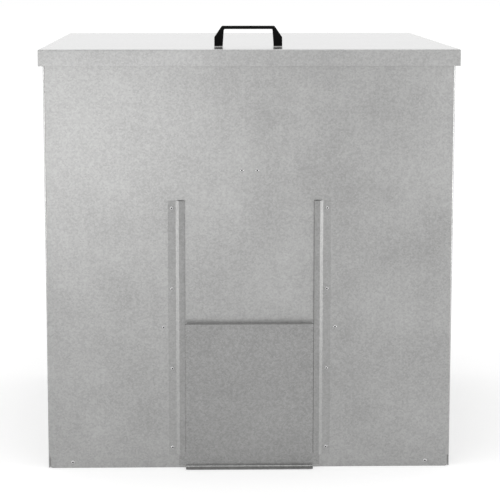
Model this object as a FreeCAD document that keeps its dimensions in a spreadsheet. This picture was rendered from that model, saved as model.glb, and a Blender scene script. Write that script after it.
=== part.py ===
import FreeCAD, Part
import math
import os
import re

import Sketcher

# A galvanised sheet-steel coal bunker with a hinged lid and a guillotine gate over its shovel hatch.
# Millimetres. X runs to the right seen from the front, Y from front to back, Z up. The origin is the
# centre of the footprint, on the ground.

SIZES = {
    # Body
    "body_width": 865.0,
    "body_depth": 865.0,
    "body_height": 898.5,
    "sheet": 1.2,
    "corner_bend": 3.3,  # inside radius of the upright corners
    "fold": 1.8,  # inside radius of the other folds
    "side_return": 30.0,  # front and back panels fold this far round the sides
    "rim_return": 20.0,  # every panel's top edge folds in by this much
    "corner_notch": 25.0,  # the upright bends are cut away up to here
    "foot_round": 6.0,
    "corner_gap": 0.5,  # left between two folds that meet
    # Shovel hatch
    "hatch_width": 264.0,
    "hatch_height": 290.0,
    # Gate rails
    "rail_foot": 29.0,
    "rail_length": 552.0,
    "rail_opening": 275.0,  # clear width between the two rails
    "rail_base": 16.5,
    "rail_web": 7.4,
    "rail_lip": 11.6,
    "rail_rise": 6.3,
    "rail_bend": 1.5,
    "rail_rivet_end": 16.0,
    "rail_rivet_count": 4,
    # Gate
    "gate_sheet": 1.5,
    "gate_width": 302.0,
    "gate_height": 317.5,
    "gate_foot": 0.5,
    "gate_play": 0.5,  # between the gate and the front panel
    "gate_bend": 2.0,
    "grip_width": 273.0,
    "grip_reach": 20.0,
    "grip_round": 6.0,
    "grip_relief": 1.5,  # slot beside each grip's bend
    "grip_slant": 5.5,  # each end of the upper grip slants in by this much towards its fold
    # Angle over the hatch
    "lintel_length": 396.0,
    "lintel_leg": 30.0,
    "lintel_sheet": 2.0,
    "lintel_bend": 3.0,
    "lintel_clear": 3.0,
    # Strap from front to back
    "tie_width": 50.0,
    "tie_sheet": 2.0,
    "tie_bend": 3.0,
    "tie_level": 645.0,  # middle of the feet
    "tie_foot_height": 32.0,
    # Floor
    "floor_flange": 24.0,
    "floor_notch": 8.0,
    # Lid
    "lid_overhang": 9.0,
    "lid_lip": 35.0,
    "lid_play": 0.3,
    "lid_seam": 0.4,
    # Handle
    "handle_length": 146.0,
    "handle_depth": 22.0,
    "handle_rise": 43.1,
    "handle_grip": 6.6,
    "handle_side": 19.0,
    "handle_slope": 16.4,
    "handle_foot": 18.0,
    "handle_lean": 2.6,
    "handle_inner_round": 3.0,
    "handle_outer_round": 4.0,
    "handle_edge": 1.2,
    "handle_setback": 125.0,
    "pad_thick": 1.5,
    # Handle screws
    "screw": 4.9,
    "screw_length": 15.0,
    "screw_head": 9.0,
    "screw_head_height": 3.2,
    "screw_bore": 5.0,
    "screw_bore_depth": 14.0,
    "screw_clear_hole": 5.5,
    # Hinges
    "hinge_span": 520.0,  # between the middles of the two hinges
    "leaf_length": 76.0,
    "leaf_height": 26.0,
    "leaf_sheet": 1.5,
    "leaf_cut": 4.2,  # a leaf stops this far from the pin beside the other leaf's knuckles
    "knuckle_count": 3,
    "knuckle_play": 0.3,
    "knuckle_gap": 0.4,
    "pin": 4.0,
    "pin_play": 0.05,
    "pin_drop": 5.0,  # below the lid's lip
    # Blind rivets
    "rivet": 4.0,
    "rivet_hole": 4.1,
    "rivet_head": 8.0,
    "rivet_crown": 3.6,  # flat on top of the head
    "rivet_rise": 1.5,
    "rivet_tail": 6.0,
    "rivet_tail_length": 3.0,
    # How far a cut runs past the metal it goes through
    "overcut": 1.0,
}

# Places and widths that follow from the sizes.
PLACES = {
    "half_width": "body_width / 2",
    "half_depth": "body_depth / 2",
    "corner_outer": "corner_bend + sheet",
    "fold_outer": "fold + sheet",
    "side_outside": "half_width - sheet",
    "end_inside": "half_depth - sheet",
    "fold_root": "fold_outer + sheet",  # a folded strip starts this far from its outer corner
    "rim_fold_level": "body_height - fold_outer",
    "side_reach": "half_depth - corner_outer - corner_gap",
    "rim_reach": "half_depth - rim_return - corner_gap",
    "rail_inner": "rail_opening / 2",
    "rail_shoulder": "rail_inner + rail_lip",
    "rail_knee": "rail_shoulder + rail_web",
    "rail_outer": "rail_knee + rail_base",
    "rail_skew": "sheet * tan(atan(rail_rise / rail_web) / 2)",
    "rail_front": "-half_depth - sheet",
    "rail_rivet_x": "rail_knee + rail_base / 2",
    "gate_rear": "-half_depth - gate_play",
    "gate_front": "gate_rear - gate_sheet",
    "gate_top": "gate_foot + gate_height",
    "gate_bend_outer": "gate_bend + gate_sheet",
    "grip_tip": "gate_front - grip_reach",
    "lintel_foot": "hatch_height + lintel_clear",
    "lintel_top": "lintel_foot + lintel_leg",
    "tie_top": "tie_level + tie_foot_height / 2",
    "tie_foot": "tie_level - tie_foot_height / 2",
    "floor_x": "side_outside - sheet",
    "floor_y": "end_inside",
    "lid_under": "body_height + lid_play",
    "lid_top": "lid_under + sheet",
    "lip_foot": "lid_top - lid_lip",
    "lid_x": "half_width + lid_overhang",
    "lid_y": "half_depth + lid_overhang",
    "lip_inside": "lid_y - sheet",
    "screw_x": "(handle_length - handle_foot) / 2",
    "handle_y": "handle_setback - lid_y",
    "handle_z": "lid_top + pad_thick",
    "pin_y": "half_depth + (lid_overhang - sheet) / 2",
    "pin_z": "lip_foot - pin_drop",
    "leaf_face": "(lid_overhang - sheet) / 2",
    "knuckle": "leaf_face - knuckle_play",
    "knuckle_pitch": "leaf_length / knuckle_count",
}

SIZE_NAME = re.compile(r"\b(" + "|".join(SIZES) + r")\b")
PLACE_NAME = re.compile(r"\b(" + "|".join(PLACES) + r")\b")

# Which way a sketch on each origin plane faces along its world axis.
FACING = {"XY_Plane": 1, "XZ_Plane": -1, "YZ_Plane": 1}

# Two lengths or places are taken as the same within this.
CLOSE = 0.01

FORWARD = (0, -1, 0)
UPWARD = (0, 0, 1)

doc = FreeCAD.newDocument("CoalBunker")
nodes = []


def make_sheet():
    """The spreadsheet of driving dimensions: a name, its value and its alias in each row."""
    table = doc.addObject("Spreadsheet::Sheet", "Sizes")
    for row, (name, size) in enumerate(SIZES.items(), 1):
        table.set(f"A{row}", name)
        table.set(f"B{row}", str(size))
        table.setAlias(f"B{row}", name)
    doc.recompute()
    return table


def bound(text):
    """An expression with its places written out and its sizes led to their cells."""
    text = str(text)
    while PLACE_NAME.search(text):
        text = PLACE_NAME.sub(lambda found: f"({PLACES[found.group()]})", text)
    return SIZE_NAME.sub(r"Sizes.\g<0>", text)


def value(text):
    """What an expression comes to now."""
    return float(sizes.evalExpression(bound(text)))


def new_body(label):
    body = doc.addObject("PartDesign::Body", label)
    body.Label = label
    return body


def keep(piece):
    """Lists a finished sub-part as a node of its own."""
    nodes.append(piece)
    return piece


def new_sketch(body, name, plane, level):
    """A sketch on one of the body's origin planes, moved along that plane's axis to a level."""
    sketch = body.newObject("Sketcher::SketchObject", name)
    origin_plane = next(p for p in body.Origin.OriginFeatures if p.Role == plane)
    sketch.AttachmentSupport = [(origin_plane, "")]
    sketch.MapMode = "FlatFace"
    sketch.setExpression("AttachmentOffset.Base.z", bound(f"{FACING[plane]} * ({level})"))
    return sketch


def fix_point(sketch, geometry, position, place):
    """Holds a point of the sketch at a place, given as two expressions."""
    for kind, text in zip(("DistanceX", "DistanceY"), place):
        index = sketch.addConstraint(Sketcher.Constraint(kind, geometry, position, value(text)))
        sketch.setExpression(f"Constraints[{index}]", bound(text))


def bend_geometry(before, corner, after, radius):
    """Where a bend of this radius leaves its two straight runs, and its arc, always anticlockwise."""
    back = (before - corner).normalize()
    ahead = (after - corner).normalize()
    half = back.getAngle(ahead) / 2
    centre = corner + (back + ahead).normalize() * (radius / math.sin(half))
    leave = corner + back * (radius / math.tan(half))
    join = corner + ahead * (radius / math.tan(half))
    turns_left = back.cross(ahead).z < 0
    first, last = (leave, join) if turns_left else (join, leave)
    start = math.atan2(first.y - centre.y, first.x - centre.x)
    stop = math.atan2(last.y - centre.y, last.x - centre.x)
    if stop < start:
        stop += 2 * math.pi
    circle = Part.Circle(centre, FreeCAD.Vector(0, 0, 1), radius)
    return leave, join, Part.ArcOfCircle(circle, start, stop), turns_left


def draw_outline(sketch, corners):
    """A closed outline of straight runs through corners, each two expressions and, at a bend, a radius."""
    points = [FreeCAD.Vector(value(c[0]), value(c[1]), 0) for c in corners]
    count = len(corners)
    leaves, joins, bends = list(points), list(points), {}
    for i, corner in enumerate(corners):
        if len(corner) == 3:
            bend = bend_geometry(points[i - 1], points[i], points[(i + 1) % count], value(corner[2]))
            leaves[i], joins[i] = bend[0], bend[1]
            bends[i] = bend[2:]
    lines = []
    for i in range(count):
        run = Part.LineSegment(joins[i], leaves[(i + 1) % count])
        lines.append(sketch.addGeometry(run, False))
    for i, corner in enumerate(corners):
        if i not in bends:
            sketch.addConstraint(Sketcher.Constraint("Coincident", lines[i - 1], 2, lines[i], 1))
            fix_point(sketch, lines[i], 1, corner)
            continue
        arc, turns_left = bends[i]
        bend = sketch.addGeometry(arc, False)
        apex = sketch.addGeometry(Part.Point(points[i]), True)
        first, last = (1, 2) if turns_left else (2, 1)
        sketch.addConstraint(Sketcher.Constraint("Tangent", lines[i - 1], 2, bend, first))
        sketch.addConstraint(Sketcher.Constraint("Tangent", bend, last, lines[i], 1))
        sketch.addConstraint(Sketcher.Constraint("PointOnObject", apex, 1, lines[i - 1]))
        sketch.addConstraint(Sketcher.Constraint("PointOnObject", apex, 1, lines[i]))
        radius = sketch.addConstraint(Sketcher.Constraint("Radius", bend, value(corner[2])))
        sketch.setExpression(f"Constraints[{radius}]", bound(corner[2]))
        fix_point(sketch, apex, 1, corner)


def draw_circles(sketch, centres, diameter):
    for centre in centres:
        middle = FreeCAD.Vector(value(centre[0]), value(centre[1]), 0)
        circle = Part.Circle(middle, FreeCAD.Vector(0, 0, 1), value(diameter) / 2)
        geometry = sketch.addGeometry(circle, False)
        index = sketch.addConstraint(Sketcher.Constraint("Diameter", geometry, value(diameter)))
        sketch.setExpression(f"Constraints[{index}]", bound(diameter))
        fix_point(sketch, geometry, 3, centre)


def extrude(body, kind, name, plane, low, high, draw):
    """A Pad or Pocket of what draw puts in the sketch, from one level to another along the plane's axis."""
    sketch = new_sketch(body, f"{name}Outline", plane, low)
    draw(sketch)
    feature = body.newObject(f"PartDesign::{kind}", name)
    feature.Profile = sketch
    feature.setExpression("Length", bound(f"({high}) - ({low})"))
    along_normal = kind == "Pad"
    feature.Reversed = along_normal == (FACING[plane] < 0)
    doc.recompute()
    return feature


def add(body, name, plane, low, high, corners):
    def draw(sketch):
        draw_outline(sketch, corners)

    return extrude(body, "Pad", name, plane, low, high, draw)


def add_round(body, name, plane, low, high, centres, diameter):
    def draw(sketch):
        draw_circles(sketch, centres, diameter)

    return extrude(body, "Pad", name, plane, low, high, draw)


def take_away(body, name, plane, low, high, draw):
    """A Pocket that has to take metal away."""
    before = body.Shape.Volume
    feature = extrude(body, "Pocket", name, plane, low, high, draw)
    if not body.Shape.Volume < before - 1e-3:
        raise RuntimeError(f"{body.Label}: {name} cuts nothing")
    return feature


def cut(body, name, plane, low, high, corners):
    def draw(sketch):
        draw_outline(sketch, corners)

    return take_away(body, name, plane, low, high, draw)


def drill(body, name, plane, low, high, centres, diameter):
    def draw(sketch):
        draw_circles(sketch, centres, diameter)

    return take_away(body, name, plane, low, high, draw)


def revolve(body, name, corners):
    """Turns a half section, given as radius and height, about the body's own Z axis."""
    sketch = new_sketch(body, f"{name}Section", "XZ_Plane", "0")
    draw_outline(sketch, corners)
    feature = body.newObject("PartDesign::Revolution", name)
    feature.Profile = sketch
    feature.ReferenceAxis = (sketch, ["V_Axis"])
    feature.Angle = 360
    doc.recompute()
    return feature


def straight_edges(feature, axis, **levels):
    """Names of the feature's straight edges along an axis, at these distances from the origin planes."""
    found = []
    for number, edge in enumerate(feature.Shape.Edges, 1):
        if edge.Curve.TypeId != "Part::GeomLine" or abs(getattr(edge.Curve.Direction, axis)) < 1 - CLOSE:
            continue
        middle = edge.CenterOfMass
        if all(abs(abs(getattr(middle, k)) - abs(level)) < CLOSE for k, level in levels.items()):
            found.append(f"Edge{number}")
    return found


def dress_edges(body, kind, name, edges, size):
    """A Fillet of this radius or a Chamfer of this width along named edges."""
    base = body.Tip
    feature = body.newObject(f"PartDesign::{kind}", name)
    feature.Base = (base, edges)
    feature.setExpression({"Fillet": "Radius", "Chamfer": "Size"}[kind], bound(size))
    doc.recompute()
    return feature


def box_corners(left, low, right, high):
    return [(left, low), (right, low), (right, high), (left, high)]


def angle_section(corner, legs, toward, thickness, bend_outer):
    """An L section: its outer corner, the lengths of its two legs and the signs of the ways they run."""
    u, v = corner
    leg_u, leg_v = legs
    way_u, way_v = toward
    return [
        (f"{u} + {way_u} * ({leg_u})", v),
        (u, v, bend_outer),
        (u, f"{v} + {way_v} * ({leg_v})"),
        (f"{u} + {way_u} * {thickness}", f"{v} + {way_v} * ({leg_v})"),
        (f"{u} + {way_u} * {thickness}", f"{v} + {way_v} * {thickness}", f"{bend_outer} - {thickness}"),
        (f"{u} + {way_u} * ({leg_u})", f"{v} + {way_v} * {thickness}"),
    ]


def copies(label, master, places):
    """One node of the same piece at several places, each x, y, z and the way its own +Z points."""
    links = []
    for number, (x, y, z, way) in enumerate(places, 1):
        link = doc.addObject("App::Link", f"{label}_{number}")
        link.LinkedObject = master
        turn = FreeCAD.Rotation(FreeCAD.Vector(*UPWARD), FreeCAD.Vector(*way))
        link.Placement = FreeCAD.Placement(FreeCAD.Vector(), turn)
        for axis, text in zip("xyz", (x, y, z)):
            link.setExpression(f"Placement.Base.{axis}", bound(text))
        links.append(link)
    group = doc.addObject("Part::Compound", label)
    group.Label = label
    group.Links = links
    return keep(group)


def by_level(*levels):
    """The same levels, lowest first."""
    return sorted(levels, key=value)


def rail_rivet_places():
    """Each rail rivet's x and z, evenly spaced up both rails."""
    lowest = "(rail_foot + rail_rivet_end)"
    run = "(rail_length - 2 * rail_rivet_end)"
    steps = int(value("rail_rivet_count")) - 1
    levels = [f"{lowest} + {step} * {run} / {steps}" for step in range(steps + 1)]
    return [(f"{side} * rail_rivet_x", level) for side in (-1, 1) for level in levels]


def end_panel(label, end):
    """Front (end -1) or back (end 1) panel: a face with two side returns and a rim folded in at the top."""
    body = new_body(label)
    face = f"{end} * half_depth"
    inside = f"{end} * end_inside"
    tip = f"{end} * (half_depth - side_return)"
    wrap = [
        ("-half_width", tip),
        ("-half_width", face, "corner_outer"),
        ("half_width", face, "corner_outer"),
        ("half_width", tip),
        ("side_outside", tip),
        ("side_outside", inside, "corner_bend"),
        ("-side_outside", inside, "corner_bend"),
        ("-side_outside", tip),
    ]
    add(body, "Wrap", "XY_Plane", "0", "rim_fold_level", wrap)
    corner, legs = (face, "body_height"), ("rim_return", "fold_root")
    rim = angle_section(corner, legs, (-end, -1), "sheet", "fold_outer")
    add(body, "Rim", "YZ_Plane", "-(half_width - corner_outer)", "half_width - corner_outer", rim)
    low, high = by_level(f"{end} * (half_depth + overcut)", f"{end} * (half_depth - corner_outer)")
    for name, side in (("LeftNotch", -1), ("RightNotch", 1)):
        edge, beyond = f"{side} * (half_width - corner_outer)", f"{side} * (half_width + overcut)"
        cut(body, name, "XZ_Plane", low, high, box_corners(edge, "-overcut", beyond, "corner_notch"))
    feet = straight_edges(body.Tip, "y", x=value("half_width - corner_outer"), z=0)
    dress_edges(body, "Fillet", "FootRounds", feet, "foot_round")
    return body


def make_front_panel():
    """The front: an end panel with the shovel hatch and the rails' rivet holes."""
    body = end_panel("front_panel", -1)
    low, high = "-half_depth - overcut", "-end_inside + overcut"
    hatch = box_corners("-hatch_width / 2", "-overcut", "hatch_width / 2", "hatch_height")
    cut(body, "Hatch", "XZ_Plane", low, high, hatch)
    drill(body, "RivetHoles", "XZ_Plane", low, high, rail_rivet_places(), "rivet_hole")
    return keep(body)


def make_side_panel(label, side):
    """A flat side between the end panels' returns, with its own rim folded in."""
    body = new_body(label)
    outside, inside = f"{side} * side_outside", f"{side} * (side_outside - sheet)"
    left, right = by_level(outside, inside)
    face = box_corners(left, "-side_reach", right, "side_reach")
    add(body, "Face", "XY_Plane", "0", "rim_fold_level", face)
    corner, legs = (outside, "body_height"), ("rim_return", "fold_root")
    rim = angle_section(corner, legs, (-side, -1), "sheet", "fold_outer")
    add(body, "Rim", "XZ_Plane", "-rim_reach", "rim_reach", rim)
    return keep(body)


def make_floor_pan():
    """A floor with a flange turned up along each side, notched out with its bend across the hatch."""
    body = new_body("floor_pan")
    plate_x, plate_y = "(floor_x - fold_outer)", "(floor_y - fold_outer)"
    plate = box_corners(f"-{plate_x}", f"-{plate_y}", plate_x, plate_y)
    add(body, "Plate", "XY_Plane", "0", "sheet", plate)
    legs = ("fold_root", "floor_flange")
    for name, end in (("FrontFlange", -1), ("BackFlange", 1)):
        flange = angle_section((f"{end} * floor_y", "0"), legs, (-end, 1), "sheet", "fold_outer")
        add(body, name, "YZ_Plane", "-(floor_x - floor_notch)", "floor_x - floor_notch", flange)
    for name, side in (("LeftFlange", -1), ("RightFlange", 1)):
        flange = angle_section((f"{side} * floor_x", "0"), legs, (-side, 1), "sheet", "fold_outer")
        add(body, name, "XZ_Plane", "-(floor_y - floor_notch)", "floor_y - floor_notch", flange)
    half_doorway = "(hatch_width / 2 + floor_notch)"
    doorway = box_corners(f"-{half_doorway}", "-overcut", half_doorway, "floor_flange + overcut")
    cut(body, "Doorway", "XZ_Plane", "-floor_y - overcut", "-floor_y + floor_notch", doorway)
    return keep(body)


def make_gate_rail(label, side):
    """A joggled rail: a base riveted to the front, a sloping web and a lip that laps over the gate."""
    body = new_body(label)
    lip_front = "(rail_front - rail_rise)"
    tight, wide = "rail_bend", "rail_bend + sheet"
    section = [
        (f"{side} * rail_outer", "rail_front"),
        (f"{side} * rail_knee", "rail_front", tight),
        (f"{side} * rail_shoulder", lip_front, wide),
        (f"{side} * rail_inner", lip_front),
        (f"{side} * rail_inner", f"{lip_front} + sheet"),
        (f"{side} * (rail_shoulder - rail_skew)", f"{lip_front} + sheet", tight),
        (f"{side} * (rail_knee - rail_skew)", "rail_front + sheet", wide),
        (f"{side} * rail_outer", "rail_front + sheet"),
    ]
    add(body, "Rail", "XY_Plane", "rail_foot", "rail_foot + rail_length", section)
    holes = [place for place in rail_rivet_places() if value(place[0]) * side > 0]
    low, high = "rail_front - overcut", "rail_front + sheet + overcut"
    drill(body, "RivetHoles", "XZ_Plane", low, high, holes, "rivet_hole")
    return keep(body)


def make_rail_rivets():
    """Blind rivets as they stand once set: a low head, a shank through both sheets and a swollen tail."""
    rivet = new_body("rail_rivet")
    grip = "2 * sheet"
    profile = [
        ("0", "rivet_rise"),
        ("rivet_crown / 2", "rivet_rise"),
        ("rivet_head / 2", "0"),
        ("rivet / 2", "0"),
        ("rivet / 2", f"-{grip}"),
        ("rivet_tail / 2", f"-{grip}"),
        ("rivet_tail / 2", f"-{grip} - rivet_tail_length"),
        ("0", f"-{grip} - rivet_tail_length"),
    ]
    revolve(rivet, "Rivet", profile)
    copies("rail_rivets", rivet, [(x, "rail_front", z, FORWARD) for x, z in rail_rivet_places()])


def make_gate():
    """The sliding gate: a flat sheet held by the rails, folded out to a grip at the top and at the foot."""
    body = new_body("sliding_gate")
    notch = "(gate_bend_outer + grip_relief)"
    flat = box_corners("-gate_width / 2", f"gate_foot + {notch}", "gate_width / 2", f"gate_top - {notch}")
    add(body, "Sheet", "XZ_Plane", "gate_front", "gate_rear", flat)
    channel = [
        ("grip_tip", "gate_foot"),
        ("gate_rear", "gate_foot", "gate_bend_outer"),
        ("gate_rear", "gate_top", "gate_bend_outer"),
        ("grip_tip", "gate_top"),
        ("grip_tip", "gate_top - gate_sheet"),
        ("gate_front", "gate_top - gate_sheet", "gate_bend"),
        ("gate_front", "gate_foot + gate_sheet", "gate_bend"),
        ("grip_tip", "gate_foot + gate_sheet"),
    ]
    add(body, "Grips", "YZ_Plane", "-grip_width / 2", "grip_width / 2", channel)
    for name, side in (("LeftSlant", -1), ("RightSlant", 1)):
        slant = [
            (f"{side} * (grip_width / 2 - grip_slant)", "gate_rear"),
            (f"{side} * (grip_width / 2 - grip_slant)", "gate_rear + overcut"),
            (f"{side} * (grip_width / 2 + overcut)", "gate_rear + overcut"),
            (f"{side} * (grip_width / 2 + overcut)", "gate_front - grip_reach / 2"),
            (f"{side} * grip_width / 2", "gate_front - grip_reach / 2"),
        ]
        cut(body, name, "XY_Plane", f"gate_top - {notch}", "gate_top + overcut", slant)
    tips = straight_edges(body.Tip, "z", x=value("grip_width / 2"), y=value("grip_tip"))
    dress_edges(body, "Fillet", "GripCorners", tips, "grip_round")
    return keep(body)


def make_lintel():
    """An angle behind the front, its flat leg level over the hatch."""
    body = new_body("hatch_lintel")
    corner, legs = ("-end_inside", "lintel_top"), ("lintel_leg", "lintel_leg")
    section = angle_section(corner, legs, (1, -1), "lintel_sheet", "(lintel_bend + lintel_sheet)")
    add(body, "Angle", "YZ_Plane", "-lintel_length / 2", "lintel_length / 2", section)
    return keep(body)


def make_tie_strap():
    """A flat strap across the inside from front to back, its two ends folded down into feet."""
    body = new_body("tie_strap")
    outer_bend = "tie_bend + tie_sheet"
    staple = [
        ("-end_inside", "tie_foot"),
        ("-end_inside", "tie_top", outer_bend),
        ("end_inside", "tie_top", outer_bend),
        ("end_inside", "tie_foot"),
        ("end_inside - tie_sheet", "tie_foot"),
        ("end_inside - tie_sheet", "tie_top - tie_sheet", "tie_bend"),
        ("-(end_inside - tie_sheet)", "tie_top - tie_sheet", "tie_bend"),
        ("-(end_inside - tie_sheet)", "tie_foot"),
    ]
    add(body, "Strap", "YZ_Plane", "-tie_width / 2", "tie_width / 2", staple)
    return keep(body)


def make_lid():
    """A pan: flat top, four lips turned down, the side lips butting against the front and rear ones."""
    body = new_body("lid")
    footprint = box_corners("-lid_x", "-lid_y", "lid_x", "lid_y")
    add(body, "Block", "XY_Plane", "lip_foot", "lid_top", footprint)
    top = value("lid_top")
    top_edges = straight_edges(body.Tip, "x", z=top) + straight_edges(body.Tip, "y", z=top)
    block = dress_edges(body, "Fillet", "TopBends", top_edges, "fold_outer")
    foot = value("lip_foot")
    faces = enumerate(block.Shape.Faces, 1)
    underside = next(f"Face{number}" for number, face in faces if abs(face.CenterOfMass.z - foot) < CLOSE)
    shell = body.newObject("PartDesign::Thickness", "Shell")
    shell.Base = (block, [underside])
    shell.setExpression("Value", bound("sheet"))
    shell.Reversed = True
    doc.recompute()
    for name, end in (("FrontSeams", -1), ("RearSeams", 1)):
        near, far = by_level(f"{end} * lip_inside", f"{end} * (lip_inside - lid_seam)")
        seam = box_corners(near, "lip_foot - overcut", far, "lid_top - fold_outer")
        cut(body, name, "YZ_Plane", "-lid_x - overcut", "lid_x + overcut", seam)
    holes = [("-screw_x", "handle_y"), ("screw_x", "handle_y")]
    low, high = "lid_under - overcut", "lid_top + overcut"
    drill(body, "HandleHoles", "XY_Plane", low, high, holes, "screw_clear_hole")
    return keep(body)


def make_handle():
    """A moulded bow handle: upright ends that slope in to a flat grip, inner sides leaning in a little."""
    body = new_body("handle")
    end = "handle_length / 2"
    leg = f"{end} - handle_foot"
    crown = f"{end} - handle_slope"
    right = [
        (leg, "0"),
        (end, "0"),
        (end, "handle_side", "handle_outer_round"),
        (crown, "handle_rise", "handle_outer_round"),
    ]
    left = [
        (f"-({crown})", "handle_rise", "handle_outer_round"),
        (f"-{end}", "handle_side", "handle_outer_round"),
        (f"-{end}", "0"),
        (f"-({leg})", "0"),
    ]
    underside = [
        (f"-({leg} - handle_lean)", "handle_rise - handle_grip", "handle_inner_round"),
        (f"{leg} - handle_lean", "handle_rise - handle_grip", "handle_inner_round"),
    ]
    bow = add(body, "Bow", "XZ_Plane", "-handle_depth / 2", "handle_depth / 2", right + left + underside)
    side = value("handle_depth / 2")
    rims = []
    for number, edge in enumerate(bow.Shape.Edges, 1):
        first, last = edge.Vertexes[0], edge.Vertexes[-1]
        on_side = abs(abs(first.Y) - side) < CLOSE and abs(first.Y - last.Y) < CLOSE
        if on_side and max(first.Z, last.Z) > CLOSE:
            rims.append(f"Edge{number}")
    dress_edges(body, "Chamfer", "SoftEdges", rims, "handle_edge")
    bores = [("-screw_x", "0"), ("screw_x", "0")]
    drill(body, "ScrewBores", "XY_Plane", "-overcut", "screw_bore_depth", bores, "screw_bore")
    body.setExpression("Placement.Base.y", bound("handle_y"))
    body.setExpression("Placement.Base.z", bound("handle_z"))
    return keep(body)


def handle_places(level):
    return [(f"{side} * screw_x", "handle_y", level, UPWARD) for side in (-1, 1)]


def make_handle_pads():
    """A thin pad, as large as the foot it lies under, with the screw's hole through it."""
    pad = new_body("handle_pad")
    half, depth = "handle_foot / 2", "handle_depth / 2"
    add(pad, "Pad", "XY_Plane", "0", "pad_thick", box_corners(f"-{half}", f"-{depth}", half, depth))
    drill(pad, "ScrewHole", "XY_Plane", "-overcut", "pad_thick + overcut", [("0", "0")], "screw_clear_hole")
    copies("handle_pads", pad, handle_places("lid_top"))


def make_handle_screws():
    """Two pan-head screws up through the lid and the pads into the handle's feet."""
    screw = new_body("handle_screw")
    profile = [
        ("0", "-screw_head_height"),
        ("screw_head / 2", "-screw_head_height"),
        ("screw_head / 2", "0"),
        ("screw / 2", "0"),
        ("screw / 2", "screw_length"),
        ("0", "screw_length"),
    ]
    revolve(screw, "Screw", profile)
    copies("handle_screws", screw, handle_places("lid_under"))


def make_hinge_leaf(label, middle, way, knuckles, bore):
    """A hinge leaf: way 1 stands up inside the lid's lip, way -1 hangs down the back from the same pin."""
    body = new_body(label)
    start = f"{middle} - leaf_length / 2"
    stop = f"{middle} + leaf_length / 2"
    near, far = f"pin_y + {way} * (leaf_face - leaf_sheet)", f"pin_y + {way} * leaf_face"
    plate = box_corners(near, f"pin_z + {way} * leaf_cut", far, f"pin_z + {way} * leaf_height")
    add(body, "Plate", "YZ_Plane", start, stop, plate)
    for number in knuckles:
        low = f"{start} + {number} * knuckle_pitch + knuckle_gap / 2"
        high = f"{start} + {number + 1} * knuckle_pitch - knuckle_gap / 2"
        tongue = box_corners(near, "pin_z", far, f"pin_z + {way} * (leaf_cut + leaf_sheet)")
        add(body, f"Tongue{number}", "YZ_Plane", low, high, tongue)
        add_round(body, f"Knuckle{number}", "YZ_Plane", low, high, [("pin_y", "pin_z")], "2 * knuckle")
    low, high = f"{start} - overcut", f"{stop} + overcut"
    drill(body, "PinBore", "YZ_Plane", low, high, [("pin_y", "pin_z")], bore)
    return keep(body)


def make_hinge_pin(label, middle):
    body = new_body(label)
    start = f"{middle} - leaf_length / 2"
    stop = f"{middle} + leaf_length / 2"
    add_round(body, "Pin", "YZ_Plane", start, stop, [("pin_y", "pin_z")], "pin")
    return keep(body)


def make_hinges():
    """Two butt hinges: the fixed leaf grips the pin in its knuckles, the lid's leaf turns on it between."""
    fixed = range(0, int(value("knuckle_count")), 2)
    moving = range(1, int(value("knuckle_count")), 2)
    for side, middle in (("left", "-hinge_span / 2"), ("right", "hinge_span / 2")):
        make_hinge_leaf(f"{side}_hinge_lower_leaf", middle, -1, fixed, "pin")
        make_hinge_leaf(f"{side}_hinge_upper_leaf", middle, 1, moving, "pin + 2 * pin_play")
        make_hinge_pin(f"{side}_hinge_pin", middle)


def check_model():
    """Stops before anything is written if an object failed or a sub-part isn't sound."""
    doc.recompute()
    for item in doc.Objects:
        if "Invalid" in item.State or "Error" in item.State:
            raise RuntimeError(f"{item.Label} failed: {item.State}")
    for node in nodes:
        if node.Shape.isNull() or not node.Shape.isValid() or not node.Shape.Solids:
            raise RuntimeError(f"{node.Label} has no sound shape")


def export_nodes():
    os.makedirs("parts", exist_ok=True)
    for node in nodes:
        node.Shape.exportStep(f"parts/{node.Label}.step")
        print(f"{node.Label}: {len(node.Shape.Solids)} solids, {node.Shape.Volume / 1000:.1f} cm3")


sizes = make_sheet()
make_front_panel()
keep(end_panel("back_panel", 1))
make_side_panel("left_side_panel", -1)
make_side_panel("right_side_panel", 1)
make_floor_pan()
make_gate_rail("left_gate_rail", -1)
make_gate_rail("right_gate_rail", 1)
make_rail_rivets()
make_gate()
make_lintel()
make_tie_strap()
make_lid()
make_handle()
make_handle_pads()
make_handle_screws()
make_hinges()
check_model()
export_nodes()
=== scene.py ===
import math

import bmesh
import bpy
import numpy as np
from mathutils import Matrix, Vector


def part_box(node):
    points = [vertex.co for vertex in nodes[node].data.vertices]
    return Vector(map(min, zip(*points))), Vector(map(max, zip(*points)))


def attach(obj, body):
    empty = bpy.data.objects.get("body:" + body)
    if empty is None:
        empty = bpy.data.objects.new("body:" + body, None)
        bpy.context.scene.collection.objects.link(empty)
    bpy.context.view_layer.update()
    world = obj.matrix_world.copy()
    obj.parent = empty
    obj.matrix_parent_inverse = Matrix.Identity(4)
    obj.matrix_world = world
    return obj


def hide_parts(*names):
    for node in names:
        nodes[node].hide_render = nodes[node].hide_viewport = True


# The looks of a galvanised coal bunker: zinc spangle on its sheets, blind rivets, a moulded handle,
# and the studio it stands in. Metres; X to the right seen from the front, Y to the back, Z up.

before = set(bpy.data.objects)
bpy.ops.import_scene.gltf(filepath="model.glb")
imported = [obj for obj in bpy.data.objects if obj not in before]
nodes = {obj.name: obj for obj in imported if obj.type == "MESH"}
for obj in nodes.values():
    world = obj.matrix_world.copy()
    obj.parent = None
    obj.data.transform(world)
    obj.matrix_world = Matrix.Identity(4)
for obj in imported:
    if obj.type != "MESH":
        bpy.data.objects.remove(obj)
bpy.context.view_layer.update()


# ---------------------------------------------------------------- shader expressions

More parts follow.
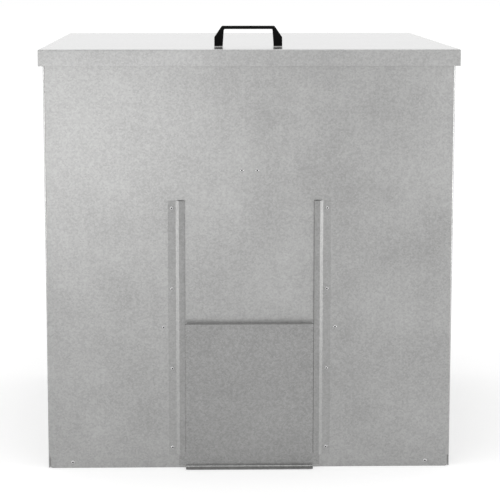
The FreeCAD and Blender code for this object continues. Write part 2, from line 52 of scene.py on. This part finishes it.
class Signal:
    """One output in a node tree. Arithmetic on it adds Math nodes; node() adds any other node."""

    def __init__(self, tree, socket=None):
        self.tree = tree
        self.socket = socket

    def node(self, kind, settings, sockets, output=0):
        """Adds a node: its settings first, then the values or links of its sockets."""
        made = self.tree.nodes.new("ShaderNode" + kind)
        for name, setting in settings.items():
            setattr(made, name, setting)
        for name, value in sockets.items():
            if isinstance(value, Signal):
                self.tree.links.new(value.socket, made.inputs[name])
            else:
                made.inputs[name].default_value = value
        return Signal(self.tree, made.outputs[output])

    def math(self, operation, *values):
        return self.node("Math", {"operation": operation}, dict(enumerate(values)))

    def __add__(self, other):
        return self.math("ADD", self, other)

    __radd__ = __add__

    def __sub__(self, other):
        return self.math("SUBTRACT", self, other)

    def __rsub__(self, other):
        return self.math("SUBTRACT", other, self)

    def __mul__(self, other):
        return self.math("MULTIPLY", self, other)

    __rmul__ = __mul__

    def clamped(self):
        return self.node("Clamp", {}, {"Value": self})

    def colour(self, low, high):
        """From one colour at 0 to another at 1, and on along the same line beyond them."""
        settings = {"data_type": "RGBA", "clamp_factor": False}
        return self.node("Mix", settings, {0: self, 6: (*low, 1), 7: (*high, 1)}, 2)


def new_material(name):
    """An empty material and a Signal to begin its expressions with."""
    material = bpy.data.materials.new(name)
    material.use_nodes = True
    material.node_tree.nodes.clear()
    return material, Signal(material.node_tree)


def surface(shader, output="OutputMaterial"):
    """Leads a shader to its tree's output."""
    end = shader.tree.nodes.new("ShaderNode" + output)
    shader.tree.links.new(shader.socket, end.inputs["Surface"])


def seen_or_mirrored(start):
    """1 for rays that show a surface, straight, mirrored or through glass, and 0 for rays that only
    gather its light."""
    rays = ("Is Camera Ray", "Is Glossy Ray", "Is Transmission Ray")
    camera_ray, glossy_ray, transmission_ray = (start.node("LightPath", {}, {}, ray) for ray in rays)
    return (camera_ray + glossy_ray + transmission_ray).clamped()


def principled(start, **sockets):
    """The Principled shader, its sockets named with _ for a space."""
    named = {name.replace("_", " "): value for name, value in sockets.items()}
    return start.node("BsdfPrincipled", {}, named)


def place_on_piece(start):
    """The point of the piece itself, in metres."""
    return start.node("TexCoord", {}, {}, "Object")


def noise(start, place, scale, detail=2.0, roughness=0.5):
    """A cloudy pattern between 0 and 1, mostly near 0.5."""
    sockets = {"Vector": place, "Scale": scale, "Detail": detail, "Roughness": roughness}
    return start.node("TexNoise", {}, sockets, "Fac")


def crystals(start, place, scale):
    """A random level for each zinc crystal of the spangle."""
    cells = start.node("TexVoronoi", {}, {"Vector": place, "Scale": scale}, "Color")
    return start.node("SeparateColor", {}, {"Color": cells}, 0)


def stretched(start, place, scale):
    """A place with each of its directions multiplied by a scale of its own."""
    return start.node("Mapping", {}, {"Vector": place, "Scale": scale})


def bumped(start, height, strength):
    """The surface's direction, tilted by a relief whose height is in metres."""
    return start.node("Bump", {}, {"Strength": strength, "Distance": 1.0, "Height": height})


def tinted(tint, level):
    """A colour: a tint brought to a level, no lighter than white."""
    return tuple(min(1.0, part * level) for part in tint)


NEUTRAL = (1.0, 1.0, 1.0)


# ---------------------------------------------------------------- finishes

# Scales are in features per metre. Gains say how far a pattern carries the colour along its range,
# which runs from the dark end to the light end, both as shares of the sheet's own tone.
ZINC_TINT = (1.0, 1.0, 0.99)
ZINC_DARK, ZINC_LIGHT = 0.78, 1.22
SMALL_CRYSTALS, LARGE_CRYSTALS = 330.0, 150.0
LARGE_CRYSTAL_GAIN = 0.12
CLOUDS = 7.0
CLOUD_HAZE = 0.08  # how much a cloud dulls the sheet as well
STREAKS = 3.0
STREAK_STRETCH = (60.0, 60.0, 1.5)  # close together across the sheet, long from foot to top
STREAK_GAIN = 0.16
WAVES = 4.0
WAVE_HEIGHT = 0.0012

# Strips of a rail by their distances from the bunker's middle plane, and how much lighter each is painted
# than the lip, as a gain. The joggle's strip is a painted highlight for the side light that falls on its
# slope.
RAIL_HIGHLIGHT_AND_TONE_STRIPS = (
    (0.1498, 0.1562, 0.60),  # the joggle, a painted highlight for the side light on its slope
    (0.1562, 0.1800, 0.33),  # the flange that lies on the front
)


def strip(start, place, near, far):
    """1 between two distances from the bunker's middle plane, 0 elsewhere."""
    across = start.node("SeparateXYZ", {}, {"Vector": place}, 0)
    return start.math("COMPARE", start.math("ABSOLUTE", across), (near + far) / 2, (far - near) / 2)


def galvanised(name, tone, rough=0.42, film=0.3, film_rough=0.35, spangle=0.42, clouding=1.0, strips=()):
    """Zinc-coated sheet: crystals in two sizes, faint clouds and rolling streaks, a slightly wavy face.
    A thin clear film of passivation over it shines where it is seen along the sheet. Spangle and clouding
    are the gains of the small crystals and the clouds, and strips are bands painted lighter than the rest,
    on the rails a painted highlight."""
    material, start = new_material(name)
    place = place_on_piece(start)
    small = crystals(start, place, SMALL_CRYSTALS)
    large = crystals(start, place, LARGE_CRYSTALS)
    clouds = noise(start, place, CLOUDS, detail=4.0, roughness=0.6)
    streaks = noise(start, stretched(start, place, STREAK_STRETCH), STREAKS)
    grain = (small - 0.5) * spangle + (large - 0.5) * LARGE_CRYSTAL_GAIN
    level = grain + (clouds - 0.5) * clouding + (streaks - 0.5) * STREAK_GAIN + 0.5
    level = level.clamped()
    for near, far, gain in strips:
        # bands painted lighter: on the rails, a painted highlight along each joggle
        level = level + strip(start, place, near, far) * gain
    waves = noise(start, place, WAVES, detail=1.0)
    shader = principled(
        start,
        Base_Color=level.colour(tinted(ZINC_TINT, tone * ZINC_DARK), tinted(ZINC_TINT, tone * ZINC_LIGHT)),
        Roughness=(clouds - 0.5) * CLOUD_HAZE + rough,
        Metallic=1.0,
        Coat_Weight=film,
        Coat_Roughness=film_rough,
        Normal=bumped(start, waves * WAVE_HEIGHT, strength=0.5),
    )
    surface(shader)
    return material


WORN_DARK, WORN_LIGHT = 0.88, 1.1  # shares of the metal's own tone
SCRATCHES = 400.0
SCRATCH_DEPTH = 0.00004
UNEVEN_POLISH = 0.2


def bright_metal(name, tone, rough):
    """Plated or bare small parts: fine scratches and a little uneven polish."""
    material, start = new_material(name)
    worn = noise(start, place_on_piece(start), SCRATCHES, detail=3.0)
    shader = principled(
        start,
        Base_Color=worn.colour(tinted(NEUTRAL, tone * WORN_DARK), tinted(NEUTRAL, tone * WORN_LIGHT)),
        Roughness=(worn - 0.5) * UNEVEN_POLISH + rough,
        Metallic=1.0,
        Normal=bumped(start, worn * SCRATCH_DEPTH, strength=0.3),
    )
    surface(shader)
    return material


PEBBLES = 1400.0
HANDLING_MARKS = 60.0


def moulded(name, low, high, rough, sheen, pebble):
    """Moulded plastic with a pebbled skin, its pebbles given by their height, and slight handling marks
    that take its grey from one level to another."""
    material, start = new_material(name)
    place = place_on_piece(start)
    grain = noise(start, place, PEBBLES)
    marks = noise(start, place, HANDLING_MARKS, detail=3.0)
    shader = principled(
        start,
        Base_Color=marks.colour(low, high),
        Roughness=(marks - 0.5) * UNEVEN_POLISH + rough,
        Specular_IOR_Level=sheen,
        Normal=bumped(start, grain * pebble, strength=0.4),
    )
    surface(shader)
    return material


panel_zinc = galvanised("panel_zinc", 0.326, rough=0.30)
inner_zinc = galvanised("inner_zinc", 0.36)
# The rails carry a painted highlight along each joggle and a flange painted lighter than the lip.
rail_zinc = galvanised("rail_zinc", 0.268, rough=0.52, strips=RAIL_HIGHLIGHT_AND_TONE_STRIPS)
gate_zinc = galvanised("gate_zinc", 0.272, rough=0.22, spangle=0.56, clouding=0.6)
lid_zinc = galvanised("lid_zinc", 0.322, rough=0.34, film=1.0, film_rough=0.16)
hinge_plating = bright_metal("hinge_plating", 0.56, 0.34)
pin_plating = bright_metal("pin_plating", 0.62, 0.28)
screw_plating = bright_metal("screw_plating", 0.60, 0.30)
rivet_alloy = bright_metal("rivet_alloy", 0.47, 0.16)
# near black: painted shade over the rivets' dimples and crown rims, with the stem's end included
stem_steel_and_dimple_shade = bright_metal("stem_steel_and_dimple_shade", 0.05, 0.50)
handle_black = moulded(
    "handle_black", tinted(NEUTRAL, 0.002), tinted(NEUTRAL, 0.005), rough=0.45, sheen=0.06, pebble=0.00003
)
pad_grey = moulded(
    "pad_grey", (0.50, 0.50, 0.49), (0.60, 0.60, 0.59), rough=0.55, sheen=0.5, pebble=0.00002
)

FINISHES = {
    "front_panel": panel_zinc,
    "back_panel": panel_zinc,
    "left_side_panel": panel_zinc,
    "right_side_panel": panel_zinc,
    "floor_pan": inner_zinc,
    "hatch_lintel": inner_zinc,
    "tie_strap": inner_zinc,
    "left_gate_rail": rail_zinc,
    "right_gate_rail": rail_zinc,
    "rail_rivets": rivet_alloy,
    "sliding_gate": gate_zinc,
    "lid": lid_zinc,
    "handle": handle_black,
    "handle_pads": pad_grey,
    "handle_screws": screw_plating,
    "left_hinge_lower_leaf": hinge_plating,
    "right_hinge_lower_leaf": hinge_plating,
    "left_hinge_upper_leaf": hinge_plating,
    "right_hinge_upper_leaf": hinge_plating,
    "left_hinge_pin": pin_plating,
    "right_hinge_pin": pin_plating,
}

for name, finish in FINISHES.items():
    mesh = nodes[name].data
    mesh.materials.clear()
    mesh.materials.append(finish)


# ---------------------------------------------------------------- rivets

RIVET_HEAD = 0.004  # radius
RIVET_CROWN = 0.0016  # radius of the dome's upper edge, round the dimple
RIVET_RISE = 0.0015  # height of the dome
RIVET_UNDERCUT = 0.0004  # how much narrower than the head its underside is
RIVET_SEAT = 0.0003  # how deep the underside sits in its sheet
RIVET_STEPS = 28  # round the head
DOME_POINTS = 8  # from the foot of the dome to its upper edge
# The dimple from its rim down and up again over the stem's broken end, as radius and height.
DIMPLE = ((0.0014, 0.0014), (0.0012, 0.0003), (0.0010, 0.0001), (0.0007, 0.0003), (0.0, 0.00035))
DOUBLE_POINTS = 1e-6  # points nearer to each other than this are one

# Places of the rivets, from the bunker's middle plane and from the ground.
RAIL_RIVETS_X = 0.16475
RAIL_RIVETS_Z = np.linspace(0.045, 0.565, 4)
LINTEL_RIVETS_X, LINTEL_RIVETS_Z = 0.183, 0.308
TIE_RIVETS_X, TIE_RIVETS_Z = 0.0163, 0.645
FLOOR_RIVETS_X, FLOOR_RIVETS_Z = 0.380, 0.0124
HINGE_X = 0.26
HINGE_RIVET_STEPS = (-0.026, 0.0, 0.026)
LOWER_LEAF_RIVETS_Z = 0.844
UPPER_LEAF_RIVETS_Z = 0.876
RAIL_SHEET = 0.0012
LEAF_SHEET = 0.0015


def turned(profile, steps):
    """Points of a half section, as radius and height, carried round its own axis in equal steps."""
    angle = np.arange(steps) * (2 * math.pi / steps)
    radius, height = profile[:, 0], profile[:, 1]
    x = np.outer(radius, np.cos(angle))
    y = np.outer(radius, np.sin(angle))
    z = np.repeat(height[:, None], steps, axis=1)
    return np.stack((x, y, z), axis=-1)


def close_poles(mesh):
    """Merges the points that lie on each other and turns every face outwards."""
    work = bmesh.new()
    work.from_mesh(mesh)
    bmesh.ops.remove_doubles(work, verts=work.verts, dist=DOUBLE_POINTS)
    bmesh.ops.recalc_face_normals(work, faces=work.faces)
    work.to_mesh(mesh)
    work.free()


def grid_faces(rows, columns):
    """Quads between neighbouring rings, each ring closed on itself, facing away from the axis."""
    row, column = np.meshgrid(np.arange(rows - 1), np.arange(columns), indexing="ij")
    here, above = row * columns, (row + 1) * columns
    beside = (column + 1) % columns
    quads = (here + column, here + beside, above + beside, above + column)
    return np.stack([corner.ravel() for corner in quads], axis=-1)


def rivet_section():
    """Half section of a set blind rivet: a flat underside, a quarter-ellipse dome from the head's radius
    in to the crown's, and the dimple round the stem's broken end."""
    underside = [(0.0, -RIVET_SEAT), (RIVET_HEAD - RIVET_UNDERCUT, -RIVET_SEAT)]
    turn = np.linspace(0.0, math.pi / 2, DOME_POINTS)
    radius = RIVET_CROWN + (RIVET_HEAD - RIVET_CROWN) * np.cos(turn)
    dome = np.stack((radius, RIVET_RISE * np.sin(turn)), axis=-1)
    return np.concatenate((underside, dome, DIMPLE))


def in_dimple(mesh, places, way):
    """Which faces lie inside the crown's edge, measured from their rivet's axis, and clear of the sheet.
    These take the near-black finish: painted shade on the crown's rim and the dimple's walls, with the
    stem's end included.
    """
    centres = np.zeros(len(mesh.polygons) * 3)
    mesh.polygons.foreach_get("center", centres)
    from_places = centres.reshape(-1, 1, 3) - np.array(places)[None]
    nearest = np.argmin(np.linalg.norm(from_places, axis=2), axis=1)
    offset = from_places[np.arange(len(nearest)), nearest]
    height = offset @ np.array(way, float)
    radius = np.sqrt(np.maximum((offset ** 2).sum(axis=1) - height ** 2, 0.0))
    return (radius < RIVET_CROWN) & (height > 0.0)


def rivets(name, places, way, body):
    """One piece of many rivets, each at a place and standing out along the same way."""
    ring = turned(rivet_section(), RIVET_STEPS)
    rows, columns = ring.shape[:2]
    turn = np.array(Vector(way).to_track_quat("Z", "Y").to_matrix())
    single = ring.reshape(-1, 3) @ turn.T
    points = (np.array(places)[:, None, :] + single[None, :, :]).reshape(-1, 3)
    faces = grid_faces(rows, columns)
    first_points = np.arange(len(places)) * (rows * columns)
    quads = (first_points[:, None, None] + faces[None, :, :]).reshape(-1, 4)
    mesh = bpy.data.meshes.new(name)
    mesh.from_pydata(points.tolist(), [], quads.tolist())
    close_poles(mesh)
    mesh.polygons.foreach_set("use_smooth", np.ones(len(mesh.polygons), bool))
    mesh.materials.append(rivet_alloy)
    mesh.materials.append(stem_steel_and_dimple_shade)
    # faces within the crown take the near-black finish, painted shade in the dimple and round the crown
    mesh.polygons.foreach_set("material_index", in_dimple(mesh, places, way).astype(np.int32))
    piece = bpy.data.objects.new(name, mesh)
    bpy.context.scene.collection.objects.link(piece)
    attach(piece, body)
    return piece


def pair(x, y, z):
    """The same place on both sides of the middle plane."""
    return [(side * x, y, z) for side in (-1, 1)]


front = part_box("front_panel")[0].y
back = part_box("back_panel")[1].y
rail_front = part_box("left_gate_rail")[1].y - RAIL_SHEET
lower_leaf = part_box("back_panel")[1].y + LEAF_SHEET
upper_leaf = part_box("left_hinge_upper_leaf")[1].y - LEAF_SHEET

rail_places = [(side * RAIL_RIVETS_X, rail_front, z) for side in (-1, 1) for z in RAIL_RIVETS_Z]
heads = rivets("rail_rivet_heads", rail_places, (0, -1, 0), "bunker_body")
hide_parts("rail_rivets")
rivets("lintel_rivets", pair(LINTEL_RIVETS_X, front, LINTEL_RIVETS_Z), (0, -1, 0), "bunker_body")
for label, face, way in (("front", front, -1), ("back", back, 1)):
    rivets(f"tie_rivets_{label}", pair(TIE_RIVETS_X, face, TIE_RIVETS_Z), (0, way, 0), "bunker_body")
    rivets(f"floor_rivets_{label}", pair(FLOOR_RIVETS_X, face, FLOOR_RIVETS_Z), (0, way, 0), "bunker_body")
hinge_x = [side * HINGE_X + step for side in (-1, 1) for step in HINGE_RIVET_STEPS]
lower_places = [(x, lower_leaf, LOWER_LEAF_RIVETS_Z) for x in hinge_x]
upper_places = [(x, upper_leaf, UPPER_LEAF_RIVETS_Z) for x in hinge_x]
rivets("hinge_rivets_lower", lower_places, (0, 1, 0), "bunker_body")
rivets("hinge_rivets_upper", upper_places, (0, -1, 0), "lid_body")


# ---------------------------------------------------------------- studio

FLOOR_REACH = 40.0
FLOOR_TONE = 0.78
FLOOR_GLOW = 0.3  # added where the floor is seen or mirrored, so that it looks white
ROOM_LIGHT = 0.7  # the room's even light on everything, where 1 is the white that is seen


def pale_floor():
    """A wide pale floor that still takes the bunker's shadow."""
    material, start = new_material("pale_floor")
    diffuse = start.node("BsdfDiffuse", {}, {"Color": (*tinted(NEUTRAL, FLOOR_TONE), 1)})
    strength = seen_or_mirrored(start) * FLOOR_GLOW
    glow = start.node("Emission", {}, {"Color": (*NEUTRAL, 1), "Strength": strength})
    surface(start.node("AddShader", {}, {0: diffuse, 1: glow}))
    mesh = bpy.data.meshes.new("floor")
    corners = [(FLOOR_REACH * x, FLOOR_REACH * y, 0) for x, y in ((-1, -1), (1, -1), (1, 1), (-1, 1))]
    mesh.from_pydata(corners, [], [(0, 1, 2, 3)])
    mesh.materials.append(material)
    floor = bpy.data.objects.new("floor", mesh)
    bpy.context.scene.collection.objects.link(floor)


def studio_air():
    """White to the eye and in reflections, a plain even light on everything else."""
    world = bpy.data.worlds.new("studio_air")
    bpy.context.scene.world = world
    world.use_nodes = True
    world.node_tree.nodes.clear()
    start = Signal(world.node_tree)
    strength = seen_or_mirrored(start) * (1.0 - ROOM_LIGHT) + ROOM_LIGHT
    surface(start.node("Background", {}, {"Color": (*NEUTRAL, 1), "Strength": strength}), "OutputWorld")


def put_up(holder, way):
    """Turns a lamp or the camera to face along a direction and stands it in the studio."""
    holder.rotation_euler = Vector(way).to_track_quat("-Z", "Y").to_euler()
    bpy.context.scene.collection.objects.link(holder)


def softbox(name, place, aim, width, height, watts):
    """A soft lamp turned towards a point."""
    lamp = bpy.data.lights.new(name, "AREA")
    lamp.shape = "RECTANGLE"
    lamp.size, lamp.size_y = width, height
    lamp.energy = watts
    holder = bpy.data.objects.new(name, lamp)
    holder.location = place
    holder.visible_camera = False
    put_up(holder, Vector(aim) - Vector(place))


def skylight(way, spread, strength):
    """A wide even light from above, shining along a direction."""
    lamp = bpy.data.lights.new("skylight", "SUN")
    lamp.angle = math.radians(spread)
    lamp.energy = strength
    put_up(bpy.data.objects.new("skylight", lamp), way)


FRAME_WIDTH = 500  # pixels
SENSOR_WIDTH = 36.0  # millimetres
LENS_PIXELS = 1719  # the lens's length in pixels of the frame
LENS_SHIFT = (0.023, -0.1)  # in widths of the frame
CAMERA_PLACE = (-0.100, -4.033, 1.074)
CAMERA_DIP = math.radians(7.78)  # how far it looks down
CAMERA_TURN = math.radians(1.22)  # how far it looks to the right


def camera():
    """A long lens in front of the bunker, a little left of the middle and a little above the lid."""
    lens = bpy.data.cameras.new("camera")
    lens.sensor_width = SENSOR_WIDTH
    lens.lens = LENS_PIXELS * SENSOR_WIDTH / FRAME_WIDTH
    lens.shift_x, lens.shift_y = LENS_SHIFT
    lens.clip_end = 5 * FLOOR_REACH
    holder = bpy.data.objects.new("camera", lens)
    holder.location = CAMERA_PLACE
    level = math.cos(CAMERA_DIP)
    put_up(holder, (math.sin(CAMERA_TURN) * level, math.cos(CAMERA_TURN) * level, -math.sin(CAMERA_DIP)))
    bpy.context.scene.camera = holder


pale_floor()
studio_air()
softbox("key", place=(-0.86, -4.2, 0.42), aim=(-0.86, 0, 0.42), width=1.6, height=0.80, watts=6.6)
softbox("right_front", place=(1.58, -4.2, 0.60), aim=(1.58, 0, 0.60), width=1.0, height=1.1, watts=4.0)
softbox("left_side", place=(-2.8, -1.2, 0.5), aim=(0, -0.4, 0.3), width=0.9, height=0.9, watts=14)
softbox("right_side", place=(2.8, -1.2, 0.5), aim=(0, -0.4, 0.3), width=0.9, height=0.9, watts=17)
skylight(way=(0.1, 0.25, -1.0), spread=60, strength=0.9)
camera()
bpy.context.scene.view_settings.view_transform = "Standard"
